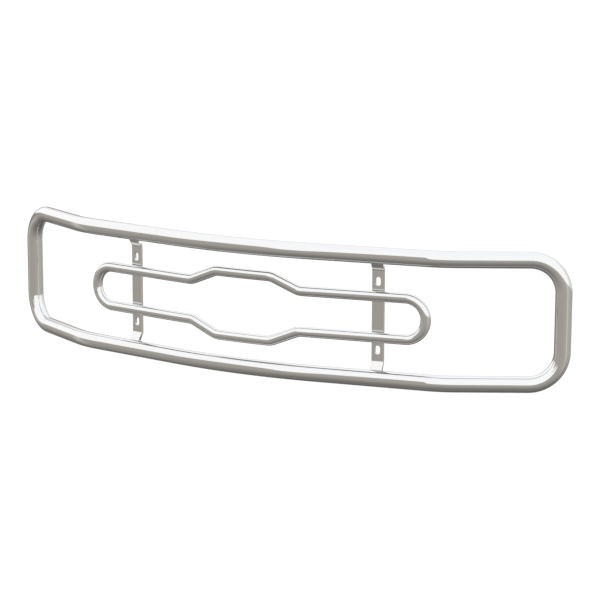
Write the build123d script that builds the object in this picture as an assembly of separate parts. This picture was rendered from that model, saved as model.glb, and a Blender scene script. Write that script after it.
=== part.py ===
from build123d import *
import math
import os

# Front grille guard: a bowed ring of tube, an inner loop of thinner tube and two slotted straps.
# Units are millimetres. +Z is up and -Y is the front of the vehicle. The origin is on the mid-plane,
# half way through the guard's depth, level with the lowest point of the ring.

# Ring: centreline in plan
RING_TUBE_DIA = 50.8
RING_WALL = 2.1
RING_HALF_HEIGHT = 188.7  # from the ring's mid-height to its upper and lower centrelines
BOW_RADIUS = 1533.0  # the shallow arc across the middle
BOW_ANGLE = 9.4  # heading of the straights that follow the arc, degrees from +X
KINK_X = 639.0  # where the straights turn back into the wings
KINK_BEND_RADIUS = 300.0
WING_ANGLE = 27.9  # heading of the wings
END_X = 957.0  # centreline of the upright ends
CORNER_RADIUS = 100.3

# Loop: lengths are measured along its own bow, from the middle
LOOP_TUBE_DIA = 31.75
LOOP_WALL = 1.65
LOOP_SETBACK = 6.6  # loop centreline behind the ring centreline
LOOP_MID_HALF_HEIGHT = 100.8
LOOP_END_HALF_HEIGHT = 63.3
LOOP_STEP_INNER = 97.7  # the step down from the tall middle starts here
LOOP_STEP_OUTER = 190.3  # and ends here
LOOP_STEP_BEND_RADIUS = 58.0
LOOP_END_CENTRE = 529.6  # centre of the rounded end

# Straps: flat bar, upright behind the loop
STRAP_WIDTH = 38.1
STRAP_THICK = 9.5
STRAP_FROM_MIDDLE = 438.0  # along the loop's bow
STRAP_BEND_HEIGHT = 141.3  # above and below mid-height
STRAP_BEND_ANGLE = 32.0  # the ends lean forward by this much
STRAP_BEND_RADIUS = 11.0
SLOT_WIDTH = 15.9
SLOT_LENGTH = 27.0
SLOT_HEIGHT = 105.5  # slot centres above and below mid-height

# Seams between the tube halves, and welds
ROOT_GAP = 3.0  # between two tube halves, filled by the seam weld
SLEEVE_WALL = 2.5
SLEEVE_CLEARANCE = 0.15
RING_SLEEVE_LENGTH = 90.0
LOOP_SLEEVE_LENGTH = 40.0
RING_BEAD_RADIUS = 5.0
LOOP_BEAD_RADIUS = 3.5
LOOP_BEAD_HEIGHT = 7.0  # bead centres above and below the loop tube's centre
BEAD_END_MARGIN = 2.0  # a bead stops this far short of the strap's edges
MIN_RUN = 0.5  # a shorter straight beside an arc is left out

RING_RADIUS = RING_TUBE_DIA / 2
LOOP_RADIUS = LOOP_TUBE_DIA / 2
STRAP_SETBACK = LOOP_SETBACK + LOOP_RADIUS  # strap front face behind the ring centreline


def bow_point(length, setback=0.0, on_straight=False):
    """Point (x, y) at a signed length along the middle bow, and the heading there in degrees.
    y is measured from the ring's foremost centreline point. on_straight keeps to the line of the
    straight that follows the arc, even where the length is still on the arc."""
    radius = BOW_RADIUS - setback
    full_turn = math.radians(BOW_ANGLE)
    side = math.copysign(1.0, length)
    turned = full_turn if on_straight else min(abs(length) / radius, full_turn)
    beyond = abs(length) - radius * turned
    x = radius * math.sin(turned) + beyond * math.cos(turned)
    y = setback + radius * (1 - math.cos(turned)) + beyond * math.sin(turned)
    return side * x, y, side * math.degrees(turned)


def ring_plan():
    """Corners of the ring's plan before rounding: apex, kink and end, right-hand side."""
    slope = math.tan(math.radians(BOW_ANGLE))
    arc_x, arc_y, _ = bow_point(BOW_RADIUS * math.radians(BOW_ANGLE))
    kink_y = arc_y + (KINK_X - arc_x) * slope
    end_y = kink_y + (END_X - KINK_X) * math.tan(math.radians(WING_ANGLE))
    return (0.0, arc_y - arc_x * slope), (KINK_X, kink_y), (END_X, end_y)


APEX, KINK, END = ring_plan()
MID_HEIGHT = RING_HALF_HEIGHT + RING_RADIUS
Y_SHIFT = -END[1] / 2  # the ring's front and rear faces end up the same distance from the origin


def place(x, y, z):
    """A point given from mid-height and from the ring's foremost centreline, in the part's frame."""
    return Vector(x, y + Y_SHIFT, z + MID_HEIGHT)


def rounded_path(corners, radii):
    """Straight runs between corners, each inner corner rounded by a tangent arc of its own radius,
    or by the largest that the runs into and out of the corner have room for."""
    edges = []
    run_start = corners[0]
    for before, corner, after, radius in zip(corners, corners[1:], corners[2:], radii):
        arriving = (corner - before).normalized()
        leaving = (after - corner).normalized()
        half_turn = math.radians(arriving.get_angle(leaving)) / 2
        room = min((corner - run_start).length, (after - corner).length)
        reach = min(radius * math.tan(half_turn), room)
        inward = (leaving - arriving).normalized()
        arc_start = corner - arriving * reach
        arc_end = corner + leaving * reach
        arc_middle = corner + inward * (reach * math.tan(half_turn / 2))
        if (arc_start - run_start).length > MIN_RUN:
            edges.append(Line(run_start, arc_start))
            run_start = arc_start
        edges.append(ThreePointArc(run_start, arc_middle, arc_end))
        run_start = arc_end
    if (corners[-1] - run_start).length > MIN_RUN:
        edges.append(Line(run_start, corners[-1]))
    return Wire(edges)


def tube(path, outer_radius, wall):
    """A tube of this radius and wall thickness along a path."""
    start = Plane(origin=path @ 0, z_dir=path % 0)
    section = start * (Circle(outer_radius) - Circle(outer_radius - wall))
    return sweep(section, path=path)


def ring_half(up):
    """Upper (up = 1) or lower (up = -1) half of the ring, from one upright end to the other."""
    z = up * RING_HALF_HEIGHT
    seam = up * ROOT_GAP / 2
    right = [place(*KINK, z), place(*END, z), place(*END, seam)]
    left = [place(-END[0], END[1], seam), place(-END[0], END[1], z), place(-KINK[0], KINK[1], z)]
    radii = [CORNER_RADIUS, KINK_BEND_RADIUS, BOW_RADIUS, KINK_BEND_RADIUS, CORNER_RADIUS]
    return tube(rounded_path([*left, place(*APEX, z), *right], radii), RING_RADIUS, RING_WALL)


def loop_leg(side, up):
    """Corners of one leg of the loop before rounding, from its seam at the middle out to its end."""
    bend_reach = LOOP_STEP_BEND_RADIUS * math.tan(loop_step_angle() / 2)
    arc_length = LOOP_STEP_INNER - bend_reach
    radius = BOW_RADIUS - LOOP_SETBACK
    arc_corner = radius * math.tan(arc_length / radius / 2)
    bow_end_corner = (LOOP_STEP_OUTER + bend_reach + radius * math.radians(BOW_ANGLE)) / 2
    tall, short = up * LOOP_MID_HALF_HEIGHT, up * LOOP_END_HALF_HEIGHT
    corners = [place(side * x, LOOP_SETBACK, tall) for x in (ROOT_GAP / 2, arc_corner)]
    end = LOOP_END_CENTRE + LOOP_END_HALF_HEIGHT
    stations = [(LOOP_STEP_INNER, tall), (LOOP_STEP_OUTER, short), (bow_end_corner, short), (end, short)]
    for length, z in stations:
        x, y, _ = bow_point(side * length, LOOP_SETBACK, on_straight=length >= bow_end_corner)
        corners.append(place(x, y, z))
    return corners


def loop_step_angle():
    """Slope of the step between the loop's tall middle and its narrow ends, in radians."""
    drop = LOOP_MID_HALF_HEIGHT - LOOP_END_HALF_HEIGHT
    return math.atan2(drop, LOOP_STEP_OUTER - LOOP_STEP_INNER)


def loop_half(side):
    """Right (side = 1) or left (side = -1) half of the loop: upper leg, rounded end, lower leg."""
    bow = BOW_RADIUS - LOOP_SETBACK
    leg_radii = [bow, LOOP_STEP_BEND_RADIUS, LOOP_STEP_BEND_RADIUS, bow, LOOP_END_HALF_HEIGHT]
    corners = loop_leg(side, 1) + loop_leg(side, -1)[::-1]
    path = rounded_path(corners, leg_radii + leg_radii[::-1])
    return tube(path, LOOP_RADIUS, LOOP_WALL)


def seam(centre, direction, tube_radius, wall, sleeve_length):
    """The backing sleeve inside a seam, and the flush weld that fills the gap around it."""
    centre, direction = place(*centre), Vector(*direction)
    bore_radius = tube_radius - wall - SLEEVE_CLEARANCE
    half_sleeve = direction * (sleeve_length / 2)
    half_gap = direction * (ROOT_GAP / 2)
    sleeve = tube(Line(centre - half_sleeve, centre + half_sleeve), bore_radius, SLEEVE_WALL)
    weld = tube(Line(centre - half_gap, centre + half_gap), tube_radius, tube_radius - bore_radius)
    return sleeve, weld


def strap_plane(side):
    """Plane square to the strap's width: its X runs rearward from the ring centreline, its Y runs up."""
    x, y, heading = bow_point(side * STRAP_FROM_MIDDLE, LOOP_SETBACK)
    rearward = Vector(-math.sin(math.radians(heading)), math.cos(math.radians(heading)), 0)
    origin = place(x, y, 0) - rearward * LOOP_SETBACK
    return Plane(origin=origin, x_dir=rearward, z_dir=rearward.cross(Vector(0, 0, 1)))


def across_strap(side, section, width):
    """Solid of this section, drawn in the strap's plane, running across the strap."""
    return extrude(strap_plane(side) * section, amount=width / 2, both=True)


def ring_core(side, up):
    """Solid bar where the ring's tube passes a strap end."""
    return across_strap(side, Pos(0, up * RING_HALF_HEIGHT) * Circle(RING_RADIUS), 2 * STRAP_WIDTH)


def loop_core(side, up):
    """Solid bar where the loop's tube passes a strap."""
    section = Pos(LOOP_SETBACK, up * LOOP_END_HALF_HEIGHT) * Circle(LOOP_RADIUS)
    return across_strap(side, section, 2 * STRAP_WIDTH)


def strap_end_line(offset):
    """Where a line parallel to the strap's leaning end, this far behind its middle, meets the ring's tube:
    (rearward, up) from the ring's centreline."""
    lean = math.radians(STRAP_BEND_ANGLE)
    start_x = STRAP_SETBACK + STRAP_THICK / 2 + offset * math.cos(lean)
    start_z = STRAP_BEND_HEIGHT - RING_HALF_HEIGHT + offset * math.sin(lean)
    along = start_z * math.cos(lean) - start_x * math.sin(lean)
    apart = start_x**2 + start_z**2 - RING_RADIUS**2
    run = -along - math.sqrt(along**2 - apart)
    return start_x - run * math.sin(lean), start_z + run * math.cos(lean) + RING_HALF_HEIGHT


def strap(side):
    """Slotted flat bar whose ends lean forward and are coped to the ring's tubes."""
    middle = STRAP_SETBACK + STRAP_THICK / 2
    tip = middle - (RING_HALF_HEIGHT - STRAP_BEND_HEIGHT) * math.tan(math.radians(STRAP_BEND_ANGLE))
    upper = [(tip, RING_HALF_HEIGHT), (middle, STRAP_BEND_HEIGHT)]
    lower = [(middle, -STRAP_BEND_HEIGHT), (tip, -RING_HALF_HEIGHT)]
    spine = FilletPolyline(*upper, *lower, radius=STRAP_BEND_RADIUS + STRAP_THICK / 2)
    bar = across_strap(side, trace(spine, line_width=STRAP_THICK), STRAP_WIDTH)
    frame = strap_plane(side)
    for up in (1, -1):
        bar -= ring_core(side, up)
        centre = frame.from_local_coords(Vector(middle, up * SLOT_HEIGHT, 0))
        slot_face = Plane(origin=centre, x_dir=Vector(0, 0, 1), z_dir=frame.x_dir)
        bar -= extrude(slot_face * SlotOverall(SLOT_LENGTH, SLOT_WIDTH), amount=STRAP_THICK, both=True)
    return bar


def ring_weld(side, up, bar):
    """Bead in the corner behind a strap end, between the strap and the ring."""
    corner_x, corner_z = strap_end_line(STRAP_THICK / 2)
    section = Pos(corner_x, up * corner_z) * Circle(RING_BEAD_RADIUS)
    bead = across_strap(side, section, STRAP_WIDTH - 2 * BEAD_END_MARGIN)
    return bead - ring_core(side, up) - bar


def loop_weld(side, up, bar):
    """Beads above and below the loop's tube, in the corners that it makes with the strap's front face."""
    beads = []
    for offset in (LOOP_BEAD_HEIGHT, -LOOP_BEAD_HEIGHT):
        section = Pos(STRAP_SETBACK, up * LOOP_END_HALF_HEIGHT + offset) * Circle(LOOP_BEAD_RADIUS)
        bead = across_strap(side, section, STRAP_WIDTH - 2 * BEAD_END_MARGIN)
        beads += (bead - loop_core(side, up) - bar).solids()
    return Compound(beads)


def build_parts():
    """Every node of the guard, by name."""
    parts = {}
    levels = ((1, "upper"), (-1, "lower"))
    sides = ((-1, "left"), (1, "right"))
    for up, level in levels:
        parts[f"ring_{level}_tube"] = ring_half(up)
        loop_seam = (0, LOOP_SETBACK, up * LOOP_MID_HALF_HEIGHT)
        sleeve, weld = seam(loop_seam, (1, 0, 0), LOOP_RADIUS, LOOP_WALL, LOOP_SLEEVE_LENGTH)
        parts[f"loop_{level}_sleeve"] = sleeve
        parts[f"loop_{level}_seam_weld"] = weld
    for side, hand in sides:
        ring_seam = (side * END[0], END[1], 0)
        sleeve, weld = seam(ring_seam, (0, 0, 1), RING_RADIUS, RING_WALL, RING_SLEEVE_LENGTH)
        parts[f"ring_{hand}_sleeve"] = sleeve
        parts[f"ring_{hand}_seam_weld"] = weld
        parts[f"loop_{hand}_tube"] = loop_half(side)
        bar = strap(side)
        parts[f"{hand}_strap"] = bar
        for up, level in levels:
            parts[f"{level}_{hand}_ring_weld"] = ring_weld(side, up, bar)
            parts[f"{level}_{hand}_loop_weld"] = loop_weld(side, up, bar)
    return parts


os.makedirs("parts", exist_ok=True)
for name, shape in build_parts().items():
    export_step(shape, f"parts/{name}.step")
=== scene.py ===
import math

import bmesh
import bpy
from mathutils import Matrix, Vector, noise


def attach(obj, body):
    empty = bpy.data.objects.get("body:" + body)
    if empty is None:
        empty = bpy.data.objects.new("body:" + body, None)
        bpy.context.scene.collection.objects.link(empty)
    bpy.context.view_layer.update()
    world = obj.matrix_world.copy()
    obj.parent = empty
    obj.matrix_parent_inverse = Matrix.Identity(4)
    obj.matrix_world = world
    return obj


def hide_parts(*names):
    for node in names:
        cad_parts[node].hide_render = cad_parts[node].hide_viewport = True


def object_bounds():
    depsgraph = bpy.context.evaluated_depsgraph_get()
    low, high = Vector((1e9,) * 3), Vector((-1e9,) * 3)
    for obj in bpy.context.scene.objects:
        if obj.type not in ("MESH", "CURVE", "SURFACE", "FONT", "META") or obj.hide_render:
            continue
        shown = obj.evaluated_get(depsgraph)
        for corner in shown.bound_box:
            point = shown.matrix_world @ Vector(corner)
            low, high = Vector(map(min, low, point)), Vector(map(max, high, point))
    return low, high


# Looks of the front grille guard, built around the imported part. Metres, +Z up, -Y is the front.
# The shape constants below repeat part.py's, because this script can't read that file.

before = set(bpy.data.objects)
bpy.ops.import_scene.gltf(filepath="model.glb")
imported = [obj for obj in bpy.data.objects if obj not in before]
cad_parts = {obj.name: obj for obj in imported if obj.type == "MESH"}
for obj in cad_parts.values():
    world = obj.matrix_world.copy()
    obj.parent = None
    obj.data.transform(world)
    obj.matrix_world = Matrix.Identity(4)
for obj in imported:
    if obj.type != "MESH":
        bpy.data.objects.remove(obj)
cad_low, cad_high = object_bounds()

# ------------------------------------------------------------------ camera
CAMERA_AT = (3.27437, -5.72030, 1.52106)
CAMERA_YAW = math.radians(28.757)  # to the left of straight ahead
CAMERA_PITCH = math.radians(11.239)  # downward
CAMERA_ROLL = math.radians(0.174)
CAMERA_LENS = 128.887  # mm, on a 36 mm sensor


def make_camera():
    """The view that the object is shown from."""
    data = bpy.data.cameras.new("camera")
    data.sensor_width = 36.0
    data.lens = CAMERA_LENS
    data.clip_end = 400.0
    ahead = Vector((-math.sin(CAMERA_YAW), math.cos(CAMERA_YAW), 0)) * math.cos(CAMERA_PITCH)
    ahead.z = -math.sin(CAMERA_PITCH)
    right = Vector((math.cos(CAMERA_YAW), math.sin(CAMERA_YAW), 0))
    above = right.cross(ahead)
    rolled_right = right * math.cos(CAMERA_ROLL) + above * math.sin(CAMERA_ROLL)
    rolled_above = above * math.cos(CAMERA_ROLL) - right * math.sin(CAMERA_ROLL)
    camera = bpy.data.objects.new("camera", data)
    camera.matrix_world = Matrix.Translation(CAMERA_AT) @ Matrix(
        (rolled_right, rolled_above, -ahead)
    ).transposed().to_4x4()
    bpy.context.scene.collection.objects.link(camera)
    bpy.context.scene.camera = camera


make_camera()

# ------------------------------------------------------------------ sizes
MM = 0.001
RING_RADIUS = 25.4 * MM
RING_WALL = 2.1 * MM
RING_HALF_HEIGHT = 188.7 * MM
BOW_RADIUS = 1533 * MM
BOW_ANGLE = math.radians(9.4)
KINK_X = 639 * MM
KINK_BEND_RADIUS = 300 * MM
WING_ANGLE = math.radians(27.9)
END_X = 957 * MM
CORNER_RADIUS = 100.3 * MM
LOOP_RADIUS = 15.875 * MM
LOOP_WALL = 1.65 * MM
LOOP_SETBACK = 6.6 * MM
LOOP_MID_HALF_HEIGHT = 100.8 * MM
LOOP_END_HALF_HEIGHT = 63.3 * MM
LOOP_STEP_INNER = 97.7 * MM
LOOP_STEP_OUTER = 190.3 * MM
LOOP_STEP_BEND_RADIUS = 58 * MM
LOOP_END_CENTRE = 529.6 * MM
STRAP_WIDTH = 38.1 * MM
STRAP_THICK = 9.5 * MM
STRAP_FROM_MIDDLE = 438 * MM
STRAP_BEND_HEIGHT = 141.3 * MM
STRAP_LEAN = math.radians(32)
STRAP_BEND_RADIUS = 11 * MM
STRAP_EDGE_RADIUS = 0.9 * MM
SLOT_WIDTH = 15.9 * MM
SLOT_LENGTH = 27 * MM
SLOT_HEIGHT = 105.5 * MM
ROOT_GAP = 3 * MM
MIN_RUN = 0.5 * MM  # a shorter straight beside an arc is left out
RING_BEAD_RADIUS = 5 * MM
LOOP_BEAD_RADIUS = 3.5 * MM
LOOP_BEAD_HEIGHT = 7 * MM
BEAD_END_MARGIN = 2 * MM
BEAD_LENGTH = STRAP_WIDTH - 2 * BEAD_END_MARGIN

STRAP_SETBACK = LOOP_SETBACK + LOOP_RADIUS
MID_HEIGHT = (cad_low.z + cad_high.z) / 2
UP = Vector((0, 0, 1))
RIGHTWARD = Vector((1, 0, 0))

# how finely the tubes are drawn
RING_AROUND = 96
LOOP_AROUND = 72
TURN_STEP = math.radians(1.6)
RUN_STEP = 30 * MM


# ------------------------------------------------------------------ plan of the guard
def bow_point(length, setback=0.0, on_straight=False):
    """Point (x, y) at a signed length along the middle bow, and the heading there."""
    radius = BOW_RADIUS - setback
    side = math.copysign(1.0, length)
    turned = BOW_ANGLE if on_straight else min(abs(length) / radius, BOW_ANGLE)
    beyond = abs(length) - radius * turned
    x = radius * math.sin(turned) + beyond * math.cos(turned)
    y = setback + radius * (1 - math.cos(turned)) + beyond * math.sin(turned)
    return side * x, y, side * turned


def ring_plan():
    """Corners of the ring's plan on the right: where the straights would meet, kink and end."""
    slope = math.tan(BOW_ANGLE)
    arc_x, arc_y, _ = bow_point(BOW_RADIUS * BOW_ANGLE)
    kink_y = arc_y + (KINK_X - arc_x) * slope
    end_y = kink_y + (END_X - KINK_X) * math.tan(WING_ANGLE)
    return (0.0, arc_y - arc_x * slope), (KINK_X, kink_y), (END_X, end_y)


APEX, KINK, END = ring_plan()


def place(x, y, z):
    """A point in the frame, from one measured from the bow's foremost point at mid-height."""
    return Vector((x, y - END[1] / 2, z + MID_HEIGHT))


def rounded_stations(corners, radii):
    """(point, direction) pairs along straight runs and tangent arcs, as part.py joins them."""
    stations = []

    def straight(start, finish):
        run = finish - start
        count = max(1, math.ceil(run.length / RUN_STEP))
        first = 0 if not stations else 1
        for k in range(first, count + 1):
            stations.append((start + run * (k / count), run.normalized()))

    run_start = corners[0]
    for before, corner, after, radius in zip(corners, corners[1:], corners[2:], radii):
        arriving = (corner - before).normalized()
        leaving = (after - corner).normalized()
        turn = arriving.angle(leaving)
        room = min((corner - run_start).length, (after - corner).length)
        reach = min(radius * math.tan(turn / 2), room)
        bend_radius = reach / math.tan(turn / 2)
        arc_start = corner - arriving * reach
        if (arc_start - run_start).length > MIN_RUN:
            straight(run_start, arc_start)
        inward = (leaving - arriving * math.cos(turn)).normalized()
        count = max(2, math.ceil(turn / TURN_STEP), math.ceil(bend_radius * turn / RUN_STEP))
        first = 0 if not stations else 1
        for k in range(first, count + 1):
            a = turn * k / count
            point = arc_start + (arriving * math.sin(a) + inward * (1 - math.cos(a))) * bend_radius
            stations.append((point, arriving * math.cos(a) + inward * math.sin(a)))
        run_start = corner + leaving * reach
    if (corners[-1] - run_start).length > MIN_RUN:
        straight(run_start, corners[-1])
    return stations


# ------------------------------------------------------------------ mesh helpers
def mesh_object(name, bm, material, replaced):
    """A smooth-shaded object from a bmesh, riding on the root body and standing for CAD nodes."""
    mesh = bpy.data.meshes.new(name)
    bmesh.ops.recalc_face_normals(bm, faces=bm.faces)
    for face in bm.faces:
        face.smooth = True
    bm.to_mesh(mesh)
    bm.free()
    mesh.materials.append(material)
    piece = bpy.data.objects.new(name, mesh)
    bpy.context.scene.collection.objects.link(piece)
    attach(piece, "root")
    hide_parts(*replaced)
    return piece


def grain_layer(bm):
    """Where each vertex lies along and across its piece, for the metal's grain to follow."""
    layers = bm.verts.layers.float_vector
    return layers.get("grain") or layers.new("grain")


def swept_tube(bm, stations, outer_radius, wall, around):
    """A closed tube wall along the stations."""
    grain = grain_layer(bm)
    direction = stations[0][1]
    side = direction.orthogonal().normalized()
    travelled = 0.0
    rings = []
    last_point = stations[0][0]
    for point, heading in stations:
        side = direction.rotation_difference(heading) @ side
        side = (side - heading * side.dot(heading)).normalized()
        direction = heading
        travelled += (point - last_point).length
        last_point = point
        across = heading.cross(side)
        ring = []
        for radius in (outer_radius, outer_radius - wall):
            row = []
            for k in range(around):
                a = 2 * math.pi * k / around
                vert = bm.verts.new(point + (side * math.cos(a) + across * math.sin(a)) * radius)
                vert[grain] = Vector((travelled, math.cos(a) * radius, math.sin(a) * radius))
                row.append(vert)
            ring.append(row)
        rings.append(ring)
    sharp = []
    for k in range(around):
        n = (k + 1) % around
        for a, b in zip(rings, rings[1:]):
            for shell in (0, 1):
                bm.faces.new((a[shell][k], a[shell][n], b[shell][n], b[shell][k]))
        for ring in (rings[0], rings[-1]):
            bm.faces.new((ring[0][k], ring[0][n], ring[1][n], ring[1][k]))
            sharp += [(ring[0][k], ring[0][n]), (ring[1][k], ring[1][n])]
    for a, b in sharp:
        bm.edges.get((a, b)).smooth = False


# ------------------------------------------------------------------ materials
# noise scales are per metre, bump depths are in metres
SMUDGE_SCALE = 7.0
SPECK_SCALE = 260.0
SWELL_SCALE = 11.0
SWELL_DEPTH = 1.2e-4
GRAIN_SHARE = 0.45  # of the pattern that sets the roughness; the smudges have the rest
ROUGH_PATTERN = (0.38, 0.68)  # the pattern's values that stand for the least and the most rough
HAZE_PATTERN = (0.62, 0.80)  # smudge values where the haze begins and is full


def noise_node(nodes, scale, detail, roughness, distortion=0.0):
    node = nodes.new("ShaderNodeTexNoise")
    node.inputs["Scale"].default_value = scale
    node.inputs["Detail"].default_value = detail
    node.inputs["Roughness"].default_value = roughness
    node.inputs["Distortion"].default_value = distortion
    return node


def ramp_node(nodes, stops):
    node = nodes.new("ShaderNodeValToRGB")
    while len(node.color_ramp.elements) < len(stops):
        node.color_ramp.elements.new(0.5)
    for element, (position, colour) in zip(node.color_ramp.elements, stops):
        element.position = position
        element.color = (*colour, 1)
    return node


def metal(name, colour, haze, roughness, grain_scale, grain_depth, pit_depth=0.0):
    """Polished or brushed metal: grain lines, hand smudges, pits and a faint waviness.
    grain_scale is the noise scale along, across and through the piece."""
    material = bpy.data.materials.new(name)
    material.use_nodes = True
    nodes, links = material.node_tree.nodes, material.node_tree.links
    shader = nodes["Principled BSDF"]
    shader.inputs["Metallic"].default_value = 1.0

    on_piece = nodes.new("ShaderNodeAttribute")
    on_piece.attribute_name = "grain"
    in_room = nodes.new("ShaderNodeTexCoord")

    stretch = nodes.new("ShaderNodeMapping")
    stretch.inputs["Scale"].default_value = grain_scale
    links.new(on_piece.outputs["Vector"], stretch.inputs["Vector"])
    lines = noise_node(nodes, 1.0, 4.0, 0.7)
    links.new(stretch.outputs["Vector"], lines.inputs["Vector"])

    smudge = noise_node(nodes, SMUDGE_SCALE, 5.0, 0.6, 0.4)
    speck = noise_node(nodes, SPECK_SCALE, 2.0, 0.5)
    swell = noise_node(nodes, SWELL_SCALE, 1.0, 0.4)
    for pattern in (smudge, speck, swell):
        links.new(in_room.outputs["Object"], pattern.inputs["Vector"])

    tint = ramp_node(nodes, list(zip(HAZE_PATTERN, (colour, haze))))
    links.new(smudge.outputs["Fac"], tint.inputs["Fac"])
    links.new(tint.outputs["Color"], shader.inputs["Base Color"])

    smudge_part = nodes.new("ShaderNodeMath")
    smudge_part.operation = "MULTIPLY"
    smudge_part.inputs[1].default_value = 1 - GRAIN_SHARE
    links.new(smudge.outputs["Fac"], smudge_part.inputs[0])
    blend = nodes.new("ShaderNodeMath")
    blend.operation = "MULTIPLY_ADD"
    blend.inputs[1].default_value = GRAIN_SHARE
    links.new(lines.outputs["Fac"], blend.inputs[0])
    links.new(smudge_part.outputs["Value"], blend.inputs[2])
    rough = nodes.new("ShaderNodeMapRange")
    rough.inputs["From Min"].default_value, rough.inputs["From Max"].default_value = ROUGH_PATTERN
    rough.inputs["To Min"].default_value, rough.inputs["To Max"].default_value = roughness
    links.new(blend.outputs["Value"], rough.inputs["Value"])
    links.new(rough.outputs["Result"], shader.inputs["Roughness"])

    bump = None
    for source, depth in ((swell, SWELL_DEPTH), (lines, grain_depth), (speck, pit_depth)):
        if depth == 0:
            continue
        step = nodes.new("ShaderNodeBump")
        step.inputs["Strength"].default_value = 1.0
        step.inputs["Distance"].default_value = depth
        links.new(source.outputs["Fac"], step.inputs["Height"])
        if bump:
            links.new(bump.outputs["Normal"], step.inputs["Normal"])
        bump = step
    links.new(bump.outputs["Normal"], shader.inputs["Normal"])
    return material


CHROME = (0.64, 0.64, 0.645)
tube_metal = metal(
    "polished_tube", CHROME, haze=(0.60, 0.598, 0.59), roughness=(0.04, 0.09),
    grain_scale=(900, 40, 40), grain_depth=4e-7,
)
strap_metal = metal(
    "polished_strap", (0.635, 0.632, 0.63), haze=(0.60, 0.595, 0.585), roughness=(0.02, 0.06),
    grain_scale=(60, 1500, 1500), grain_depth=6e-7,
)
ground_metal = metal(
    "ground_weld", CHROME, haze=(0.59, 0.585, 0.575), roughness=(0.03, 0.10),
    grain_scale=(1400, 60, 60), grain_depth=6e-7,
)
bead_metal = metal(
    "weld_bead", (0.635, 0.632, 0.628), haze=(0.59, 0.58, 0.565), roughness=(0.08, 0.18),
    grain_scale=(500, 500, 500), grain_depth=2e-6, pit_depth=3e-6,
)
sleeve_metal = metal(
    "sleeve_steel", (0.45, 0.445, 0.44), haze=(0.36, 0.35, 0.34), roughness=(0.25, 0.45),
    grain_scale=(300, 300, 300), grain_depth=3e-6,
)


# ------------------------------------------------------------------ ring and loop
def ring_half(up):
    """Stations of the ring's upper (1) or lower (-1) half, from its left seam to its right one."""
    z = up * RING_HALF_HEIGHT
    seam = up * ROOT_GAP / 2
    right = [place(*KINK, z), place(*END, z), place(*END, seam)]
    left = [place(-END[0], END[1], seam), place(-END[0], END[1], z), place(-KINK[0], KINK[1], z)]
    radii = [CORNER_RADIUS, KINK_BEND_RADIUS, BOW_RADIUS, KINK_BEND_RADIUS, CORNER_RADIUS]
    return rounded_stations([*left, place(*APEX, z), *right], radii)


def loop_half(side):
    """Stations of the loop's right (1) or left (-1) half, from its upper seam to its lower one.
    The tube follows the bow, steps down from the tall middle, runs on and rounds the end."""
    drop = LOOP_MID_HALF_HEIGHT - LOOP_END_HALF_HEIGHT
    step_angle = math.atan2(drop, LOOP_STEP_OUTER - LOOP_STEP_INNER)
    bend_reach = LOOP_STEP_BEND_RADIUS * math.tan(step_angle / 2)
    radius = BOW_RADIUS - LOOP_SETBACK
    arc_corner = radius * math.tan((LOOP_STEP_INNER - bend_reach) / radius / 2)
    bow_end_corner = (LOOP_STEP_OUTER + bend_reach + radius * BOW_ANGLE) / 2
    end = LOOP_END_CENTRE + LOOP_END_HALF_HEIGHT
    legs = []
    for up in (1, -1):
        tall, short = up * LOOP_MID_HALF_HEIGHT, up * LOOP_END_HALF_HEIGHT
        leg = [place(side * x, LOOP_SETBACK, tall) for x in (ROOT_GAP / 2, arc_corner)]
        outward = (
            (LOOP_STEP_INNER, tall),
            (LOOP_STEP_OUTER, short),
            (bow_end_corner, short),
            (end, short),
        )
        for length, z in outward:
            past_bow = length >= bow_end_corner
            x, y, _ = bow_point(side * length, LOOP_SETBACK, on_straight=past_bow)
            leg.append(place(x, y, z))
        legs.append(leg)
    radii = [radius, LOOP_STEP_BEND_RADIUS, LOOP_STEP_BEND_RADIUS, radius, LOOP_END_HALF_HEIGHT]
    return rounded_stations(legs[0] + legs[1][::-1], radii + radii[::-1])


def tube_piece(node, stations, radius, wall, around, material, slot):
    bm = bmesh.new()
    swept_tube(bm, stations, radius, wall, around)
    mesh_object(f"{node}_skin", bm, material, [node])


def seam_stations(centre, direction):
    half = direction * (ROOT_GAP / 2)
    return [(centre - half, direction), (centre + half, direction)]


RING_TUBE = (RING_RADIUS, RING_WALL, RING_AROUND)
LOOP_TUBE = (LOOP_RADIUS, LOOP_WALL, LOOP_AROUND)
POLISHED = (tube_metal, "polished_tube")
GROUND = (ground_metal, "ground_weld")
for up, level in ((1, "upper"), (-1, "lower")):
    seam = seam_stations(place(0, LOOP_SETBACK, up * LOOP_MID_HALF_HEIGHT), RIGHTWARD)
    tube_piece(f"ring_{level}_tube", ring_half(up), *RING_TUBE, *POLISHED)
    tube_piece(f"loop_{level}_seam_weld", seam, *LOOP_TUBE, *GROUND)
for side, hand in ((-1, "left"), (1, "right")):
    seam = seam_stations(place(side * END[0], END[1], 0), UP)
    tube_piece(f"loop_{hand}_tube", loop_half(side), *LOOP_TUBE, *POLISHED)
    tube_piece(f"ring_{hand}_seam_weld", seam, *RING_TUBE, *GROUND)


# ------------------------------------------------------------------ straps
def strap_frame(side):
    """Origin on the ring's centreline at mid-height, with the rearward and sideways directions."""
    x, y, heading = bow_point(side * STRAP_FROM_MIDDLE, LOOP_SETBACK)
    rearward = Vector((-math.sin(heading), math.cos(heading), 0))
    return place(x, y, 0) - rearward * LOOP_SETBACK, rearward, rearward.cross(UP)


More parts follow.
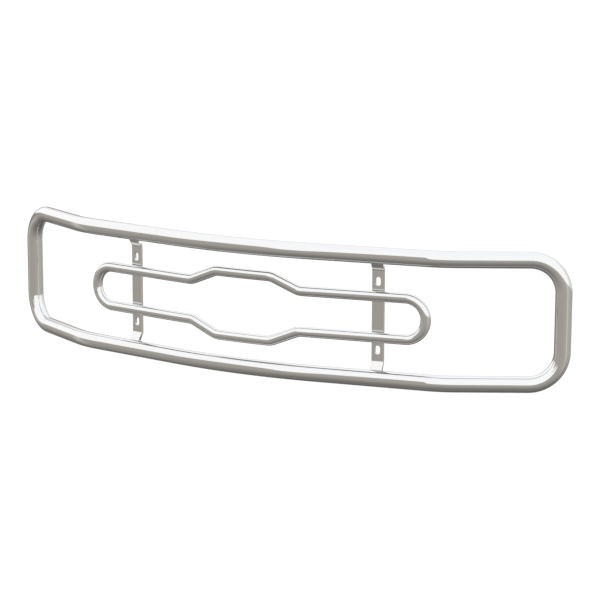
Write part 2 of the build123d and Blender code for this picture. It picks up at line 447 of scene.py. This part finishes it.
MIDDLE_RADIUS = STRAP_BEND_RADIUS + STRAP_THICK / 2
STRAP_MIDDLE = STRAP_SETBACK + STRAP_THICK / 2
BEND_START = STRAP_BEND_HEIGHT - MIDDLE_RADIUS * math.tan(STRAP_LEAN / 2)
BEND_LENGTH = MIDDLE_RADIUS * STRAP_LEAN
BEND_CENTRE = STRAP_MIDDLE - MIDDLE_RADIUS
BEND_CUTS = 10
CUT_TOLERANCE = 1e-7
EDGE_STEPS = 4
SLOT_POINTS = 40


def in_bend(turned, offset):
    """(rearward, up) of a line of the strap, offset behind its middle, some way round the bend."""
    radius = MIDDLE_RADIUS + offset
    return BEND_CENTRE + radius * math.cos(turned), BEND_START + radius * math.sin(turned)


def lean_start(offset):
    """Where that line leaves the bend."""
    return in_bend(STRAP_LEAN, offset)


def along_lean(offset, run):
    """Where that line is some way beyond the bend."""
    x, z = lean_start(offset)
    return x - run * math.sin(STRAP_LEAN), z + run * math.cos(STRAP_LEAN)


def run_to_ring(offset):
    """Length of that line from the bend to the ring's tube."""
    x, z = lean_start(offset)
    z -= RING_HALF_HEIGHT
    along = z * math.cos(STRAP_LEAN) - x * math.sin(STRAP_LEAN)
    return -along - math.sqrt(along**2 - (x**2 + z**2 - RING_RADIUS**2))


FLAT_END = BEND_START + BEND_LENGTH + run_to_ring(0)


def bent(along, offset):
    """(rearward, up) of a point of the flat strap once its ends are bent and coped to the ring."""
    up = math.copysign(1.0, along)
    length = abs(along)
    if length <= BEND_START:
        return STRAP_MIDDLE + offset, along
    turned = min((length - BEND_START) / MIDDLE_RADIUS, STRAP_LEAN)
    if turned < STRAP_LEAN:
        x, z = in_bend(turned, offset)
        return x, up * z
    run = (length - BEND_START - BEND_LENGTH) * run_to_ring(offset) / run_to_ring(0)
    x, z = along_lean(offset, run)
    return x, up * z


def strap_outline(inset):
    """Corner points (along, across) of the flat strap. Only its long edges are eased."""
    half = STRAP_WIDTH / 2 - inset
    return [(-FLAT_END, -half), (FLAT_END, -half), (FLAT_END, half), (-FLAT_END, half)]


def slot_outline(centre, inset):
    """Points (along, across) of a slot's edge. The inset widens it, as its edges are eased too."""
    radius = SLOT_WIDTH / 2 + inset
    straight = (SLOT_LENGTH - SLOT_WIDTH) / 2
    outline = []
    for k in range(SLOT_POINTS):
        a = 2 * math.pi * (k + 0.5) / SLOT_POINTS
        shift = math.copysign(straight, math.cos(a))
        outline.append((centre + shift + radius * math.cos(a), radius * math.sin(a)))
    return outline


def strap_piece(side, hand):
    """The strap is drawn flat with its slots, cut across where it will bend, and then bent."""
    origin, rearward, across = strap_frame(side)
    bm = bmesh.new()
    section = []
    for k in range(EDGE_STEPS + 1):
        a = math.pi / 2 * k / EDGE_STEPS
        inset, depth = 1 - math.sin(a), 1 - math.cos(a)
        section.append((STRAP_EDGE_RADIUS * inset, STRAP_EDGE_RADIUS * depth))
    section += [(inset, STRAP_THICK - depth) for inset, depth in reversed(section)]
    rims = ([], [])
    for shape in (
        strap_outline,
        lambda inset: slot_outline(SLOT_HEIGHT, inset),
        lambda inset: slot_outline(-SLOT_HEIGHT, inset),
    ):
        rows = [[bm.verts.new((s, w, depth)) for s, w in shape(inset)] for inset, depth in section]
        count = len(rows[0])
        for a, b in zip(rows, rows[1:]):
            for k in range(count):
                n = (k + 1) % count
                bm.faces.new((a[k], a[n], b[n], b[k]))
        for rim, row in zip(rims, (rows[0], rows[-1])):
            rim += [bm.edges.get((row[k], row[(k + 1) % count])) for k in range(count)]
    for rim in rims:
        bmesh.ops.triangle_fill(bm, use_beauty=True, use_dissolve=False, edges=rim)
    cuts = [BEND_START + BEND_LENGTH * k / BEND_CUTS for k in range(BEND_CUTS + 1)]
    for cut in [up * along for along in cuts for up in (1, -1)]:
        bmesh.ops.bisect_plane(
            bm, geom=bm.verts[:] + bm.edges[:] + bm.faces[:],
            plane_co=(cut, 0, 0), plane_no=RIGHTWARD, dist=CUT_TOLERANCE,
        )
    grain = grain_layer(bm)
    for vert in bm.verts:
        along, sideways, depth = vert.co
        vert[grain] = (along, sideways, depth)
        x, z = bent(along, depth - STRAP_THICK / 2)
        vert.co = origin + rearward * x + UP * z + across * sideways
    piece = mesh_object(f"{hand}_strap_bar", bm, strap_metal, [f"{hand}_strap"])
    for edge in piece.data.edges:
        edge.use_edge_sharp = False
    weighted = piece.modifiers.new("flat faces stay flat", "WEIGHTED_NORMAL")
    weighted.weight = 100
    weighted.keep_sharp = True


for side, hand in ((-1, "left"), (1, "right")):
    strap_piece(side, hand)


# ------------------------------------------------------------------ weld beads
BEAD_STATIONS = 150
BEAD_POINTS = 14
BEAD_TRIAL_STEP = 0.5  # degrees between the directions tried to find where a bead is in the open
RIPPLE_PITCH = 2.1 * MM
RIPPLE_DEPTH = 0.045  # of the bead's radius, as are the wobble and the ends below
RIPPLE_LEVEL = 0.62  # the ripple's mean height, so that it adds no thickness
RIPPLE_FALL = 1.6  # how late each ripple falls away
RIPPLE_FADE = 0.7  # how soon it dies out towards the two metals
RIPPLE_LAG = 0.45  # of a pitch, at the bead's sides
WANDER_DEPTH = 0.12  # of a pitch
WANDER_SCALE = 160  # per metre
WOBBLE_DEPTH = 0.02
WOBBLE_SCALE = 90  # per metre
END_ROUNDING = 0.8
END_SIZE = 0.22
LEAST_SIZE = 0.15


def bead_section(centre, radius, tube_centre, tube_radius, outside):
    """First and last direction from the bead's centre that come out into the open."""
    free = []
    for k in range(int(360 / BEAD_TRIAL_STEP)):
        a = math.radians(k * BEAD_TRIAL_STEP)
        x = centre[0] + radius * math.cos(a)
        z = centre[1] + radius * math.sin(a)
        clear = math.hypot(x - tube_centre[0], z - tube_centre[1]) > tube_radius
        if clear and outside(x, z):
            free.append(a)
    # the open arc may run across the zero direction
    following = free[1:] + [free[0] + 2 * math.pi]
    _, last = max((b - a, i) for i, (a, b) in enumerate(zip(free, following)))
    ordered = free[last + 1 :] + [a + 2 * math.pi for a in free[: last + 1]]
    return ordered[0], ordered[-1]


def bead_reach(radius, along, share, seed):
    """Distance of the bead's surface from its centre line, a share of the way across its face."""
    from_end = BEAD_LENGTH / 2 - abs(along)
    taper = math.sqrt(max(0.0, 1 - (1 - min(1.0, from_end / (radius * END_ROUNDING))) ** 2))
    lag = (2 * share - 1) ** 2 * RIPPLE_LAG
    wander = WANDER_DEPTH * noise.noise(Vector((along * WANDER_SCALE, seed, 0.5)))
    crest = 1 - ((along / RIPPLE_PITCH + lag + wander) % 1.0) ** RIPPLE_FALL
    crown = math.sin(math.pi * share) ** RIPPLE_FADE
    ripple = radius * RIPPLE_DEPTH * (crest - RIPPLE_LEVEL) * crown
    wobble = radius * WOBBLE_DEPTH * noise.noise(Vector((along * WOBBLE_SCALE, seed, 2.0)))
    size = END_SIZE + (1 - END_SIZE) * taper
    return max(radius * LEAST_SIZE, (radius + ripple + wobble) * size)


def bead(bm, side, centre, radius, tube_centre, tube_radius, outside, seed):
    """A weld bead across the strap, laid in overlapping ripples."""
    origin, rearward, across = strap_frame(side)
    start, finish = bead_section(centre, radius, tube_centre, tube_radius, outside)
    grain = grain_layer(bm)
    rows = []
    for i in range(BEAD_STATIONS + 1):
        along = (i / BEAD_STATIONS - 0.5) * BEAD_LENGTH
        section = []
        for k in range(BEAD_POINTS + 1):
            share = k / BEAD_POINTS
            a = start + (finish - start) * share
            reach = bead_reach(radius, along, share, seed)
            section.append((centre[0] + reach * math.cos(a), centre[1] + reach * math.sin(a)))
        row = []
        for x, z in [*section, centre]:
            vert = bm.verts.new(origin + rearward * x + UP * z + across * along)
            vert[grain] = (along, x, z)
            row.append(vert)
        rows.append(row)
    for a, b in zip(rows, rows[1:]):
        for k in range(len(a)):
            n = (k + 1) % len(a)
            bm.faces.new((a[k], a[n], b[n], b[k]))
    bm.faces.new(rows[0])
    bm.faces.new(rows[-1][::-1])


def ring_bead(side, up, hand, level):
    """The bead behind the strap's end, where its back face meets the ring's tube."""
    back_x, back_z = lean_start(STRAP_THICK / 2)
    corner_x, corner_z = along_lean(STRAP_THICK / 2, run_to_ring(STRAP_THICK / 2))

    def behind_strap(x, z):
        return (x - back_x) * math.cos(STRAP_LEAN) + (up * z - back_z) * math.sin(STRAP_LEAN) > 0

    bm = bmesh.new()
    bead(
        bm, side, (corner_x, up * corner_z), RING_BEAD_RADIUS,
        (0, up * RING_HALF_HEIGHT), RING_RADIUS, behind_strap, seed=3.0 * side + up,
    )
    node = f"{level}_{hand}_ring_weld"
    mesh_object(f"{level}_{hand}_ring_bead", bm, bead_metal, [node])


def loop_beads(side, up, hand, level):
    """The beads above and below the loop's tube, where it crosses the strap."""
    height = up * LOOP_END_HALF_HEIGHT
    bm = bmesh.new()
    for offset in (LOOP_BEAD_HEIGHT, -LOOP_BEAD_HEIGHT):
        bead(
            bm, side, (STRAP_SETBACK, height + offset), LOOP_BEAD_RADIUS,
            (LOOP_SETBACK, height), LOOP_RADIUS, lambda x, z: x < STRAP_SETBACK,
            seed=7.0 * side + up + offset * 900,
        )
    node = f"{level}_{hand}_loop_weld"
    mesh_object(f"{level}_{hand}_loop_beads", bm, bead_metal, [node])


for side, hand in ((-1, "left"), (1, "right")):
    for up, level in ((1, "upper"), (-1, "lower")):
        ring_bead(side, up, hand, level)
        loop_beads(side, up, hand, level)

for node in ("ring_left_sleeve", "ring_right_sleeve", "loop_upper_sleeve", "loop_lower_sleeve"):
    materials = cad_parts[node].data.materials
    materials.clear()
    materials.append(sleeve_metal)


# ------------------------------------------------------------------ studio
FLOOR_RADIUS = 90
BACKDROP_HEIGHT = 60
FLOOR_GAP = 0.2 * MM  # below the guard's lowest point
SOFTBOX_SIZE = (5.0, 4.0)
SOFTBOX_AT = (0.5, -0.5, 4.5)
SOFTBOX_POWER = 60.0

# The room that the metal mirrors, by direction. Grey levels are as displayed, 0 to 1.
DISPLAY_GAMMA = 2.2
ROOM_GAIN = 1.56  # the polished metal gives back about two thirds of what it mirrors

# Height of the white panels' lower edge, as sin(elevation), by bearing from straight ahead of the
# guard (degrees, positive to its right).
HORIZON = [
    (-180, -0.12), (-150, -0.11), (-146, 0.25), (-142, 0.32), (-137, 0.30), (-131, 0.20),
    (-123, 0.10), (-110, 0.06), (-88, 0.11), (-53, 0.17), (-46, 0.21), (-40, 0.29),
    (-33, 0.33), (-26, 0.31), (-20, 0.18), (-16, 0.11), (-11.5, 0.13), (-9.5, 0.26),
    (-8, 0.36), (-5, 0.30), (4, 0.02), (30, 0.02), (60, 0.04), (110, 0.02),
    (148, -0.11), (180, -0.12),
]
HORIZON_DATUM = 0.2  # a curve holds only heights from 0 to 1, so it is drawn this much higher
PANEL_EDGE = 0.05  # half the height over which the panels' edge blends

# Levels of the floor side, from the horizon (0) to straight down (1).
FLOOR_LEVELS = [
    (0.00, (0.622, 0.605, 0.578)),
    (0.30, (0.600, 0.586, 0.562)),
    (0.50, (0.560, 0.548, 0.530)),
    (0.75, (0.486, 0.476, 0.460)),
    (0.88, (0.440, 0.430, 0.418)),
    (1.00, (0.436, 0.428, 0.416)),
]
# What is added to them by direction. A direction's x, y and z are its parts to the right, to the
# rear and up.
REAR_SLOPE = 0.1  # lighter to the rear near the horizon, darker further down
REAR_SLOPE_LEVEL = -0.7  # the height where that turns from one to the other
REAR_CENTRE = -0.02  # straight to the rear
QUARTER_SHADE = 0.3  # darker between the sides and the rear, except on the right
RIGHT_LEVEL = 0.05
LEFT_SHADE = 0.32
LEFT_SHADE_LIMIT = 0.5
EDGE_LEVEL = 0.15  # a pale upright edge on either side
EDGE_FORWARD = 0.22
EDGE_WIDTH = 0.22

# Levels of the white side, from the horizon (0) to straight up (1).
REAR_LEVELS = [
    (0.00, (0.790, 0.788, 0.780)),
    (0.30, (0.835, 0.835, 0.830)),
    (0.50, (0.885, 0.887, 0.890)),
    (0.67, (0.935, 0.940, 0.950)),
    (1.00, (0.945, 0.956, 0.970)),
]
FRONT_LEVELS = [
    (0.85, (0.968, 0.970, 0.968)),
    (1.00, (0.945, 0.956, 0.970)),
]
REAR_BLEND = (0.3, 0.75)  # the part to the rear over which the front levels give way


def make_floor():
    """A white floor whose rim rises into a backdrop, so a low camera sees nothing beyond it."""
    bm = bmesh.new()
    bmesh.ops.create_circle(bm, cap_ends=True, cap_tris=False, segments=96, radius=FLOOR_RADIUS)
    rim = [edge for edge in bm.edges if edge.is_boundary]
    raised = bmesh.ops.extrude_edge_only(bm, edges=rim)["geom"]
    top = [item for item in raised if isinstance(item, bmesh.types.BMVert)]
    bmesh.ops.translate(bm, vec=(0, 0, BACKDROP_HEIGHT), verts=top)
    mesh = bpy.data.meshes.new("floor")
    bm.to_mesh(mesh)
    bm.free()
    material = bpy.data.materials.new("floor_paper")
    material.use_nodes = True
    shader = material.node_tree.nodes["Principled BSDF"]
    shader.inputs["Base Color"].default_value = (0.05, 0.05, 0.05, 1)
    shader.inputs["Roughness"].default_value = 0.9
    shader.inputs["Specular IOR Level"].default_value = 0.0
    # it gives off its own light, so it is evenly white and just reaches full white
    shader.inputs["Emission Color"].default_value = (1, 1, 1, 1)
    shader.inputs["Emission Strength"].default_value = 1.0
    mesh.materials.append(material)
    floor = bpy.data.objects.new("floor", mesh)
    floor.location = (0, 0, cad_low.z - FLOOR_GAP)
    bpy.context.scene.collection.objects.link(floor)
    # polished metal mirrors the studio room below the horizon, not this white sheet
    floor.visible_glossy = False


def make_world():
    world = bpy.data.worlds.new("studio")
    bpy.context.scene.world = world
    world.use_nodes = True
    nodes, links = world.node_tree.nodes, world.node_tree.links
    background = nodes["Background"]

    def math_node(operation, a, b=None, clamp=False):
        node = nodes.new("ShaderNodeMath")
        node.operation = operation
        node.use_clamp = clamp
        for socket, value in zip(node.inputs, (a, b)):
            if isinstance(value, (int, float)):
                socket.default_value = value
            elif value is not None:
                links.new(value, socket)
        return node.outputs["Value"]

    def plus(a, b):
        return math_node("ADD", a, b)

    def minus(a, b):
        return math_node("SUBTRACT", a, b)

    def times(a, b):
        return math_node("MULTIPLY", a, b)

    def power(a, b):
        return math_node("POWER", a, b)

    def at_least(a, b):
        return math_node("MAXIMUM", a, b)

    def smooth_step(value, low, high):
        node = nodes.new("ShaderNodeMapRange")
        node.interpolation_type = "SMOOTHSTEP"
        node.inputs["From Min"].default_value = low
        node.inputs["From Max"].default_value = high
        links.new(value, node.inputs["Value"])
        return node.outputs["Result"]

    def levels(value, stops):
        node = ramp_node(nodes, stops)
        links.new(value, node.inputs["Fac"])
        return node.outputs["Color"]

    def mix(factor, a, b):
        node = nodes.new("ShaderNodeMix")
        node.data_type = "RGBA"
        links.new(factor, node.inputs["Factor"])
        links.new(a, node.inputs["A"])
        links.new(b, node.inputs["B"])
        return node.outputs["Result"]

    direction = nodes.new("ShaderNodeTexCoord")
    split = nodes.new("ShaderNodeSeparateXYZ")
    links.new(direction.outputs["Generated"], split.inputs["Vector"])
    x, y, z = (split.outputs[axis] for axis in "XYZ")

    # bearing: 0 straight ahead (-Y), as a share of a turn with 0.5 at the front
    bearing = math_node("ARCTAN2", x, times(y, -1))
    turn = plus(math_node("DIVIDE", bearing, 2 * math.pi), 0.5)
    horizon = nodes.new("ShaderNodeFloatCurve")
    points = horizon.mapping.curves[0].points
    while len(points) < len(HORIZON):
        points.new(0.5, 0.5)
    for point, (degrees, height) in zip(points, HORIZON):
        point.location = (degrees / 360 + 0.5, height + HORIZON_DATUM)
        point.handle_type = "AUTO_CLAMPED"
    horizon.mapping.update()
    links.new(turn, horizon.inputs["Value"])
    above = minus(plus(z, HORIZON_DATUM), horizon.outputs["Value"])

    # the floor side
    rear = at_least(y, 0.0)
    right = at_least(x, 0.0)
    left = at_least(times(x, -1), 0.0)
    centre = times(power(rear, 4.0), REAR_CENTRE)
    slope = times(times(rear, REAR_SLOPE), minus(z, REAR_SLOPE_LEVEL))
    quarter = times(times(rear, minus(1.0, rear)), minus(1.0, right))
    to_right = times(power(right, 2.0), RIGHT_LEVEL)
    some_rear = math_node("MINIMUM", rear, LEFT_SHADE_LIMIT)
    to_left = times(times(power(left, 2.0), LEFT_SHADE), some_rear)
    off_edge = math_node("DIVIDE", math_node("ABSOLUTE", plus(y, EDGE_FORWARD)), EDGE_WIDTH)
    edge = times(at_least(minus(1.0, off_edge), 0.0), power(math_node("ABSOLUTE", x), 4.0))
    lift = minus(plus(centre, slope), times(quarter, QUARTER_SHADE))
    lift = minus(plus(plus(lift, to_right), times(edge, EDGE_LEVEL)), to_left)
    down = math_node("MULTIPLY", z, -1, clamp=True)
    lifted = nodes.new("ShaderNodeVectorMath")
    lifted.operation = "ADD"
    links.new(levels(down, FLOOR_LEVELS), lifted.inputs[0])
    links.new(lift, lifted.inputs[1])

    # the white side
    white = mix(smooth_step(y, *REAR_BLEND), levels(z, FRONT_LEVELS), levels(z, REAR_LEVELS))

    room = mix(smooth_step(above, -PANEL_EDGE, PANEL_EDGE), lifted.outputs["Vector"], white)
    linear = nodes.new("ShaderNodeGamma")
    linear.inputs["Gamma"].default_value = DISPLAY_GAMMA
    links.new(room, linear.inputs["Color"])
    links.new(linear.outputs["Color"], background.inputs["Color"])
    background.inputs["Strength"].default_value = ROOM_GAIN


def make_lights():
    data = bpy.data.lights.new("overhead_softbox", "AREA")
    data.shape = "RECTANGLE"
    data.size, data.size_y = SOFTBOX_SIZE
    data.energy = SOFTBOX_POWER
    light = bpy.data.objects.new("overhead_softbox", data)
    light.location = SOFTBOX_AT
    light.visible_glossy = False
    bpy.context.scene.collection.objects.link(light)


make_floor()
make_world()
make_lights()
bpy.context.scene.view_settings.view_transform = "Standard"

bpy.context.view_layer.update()
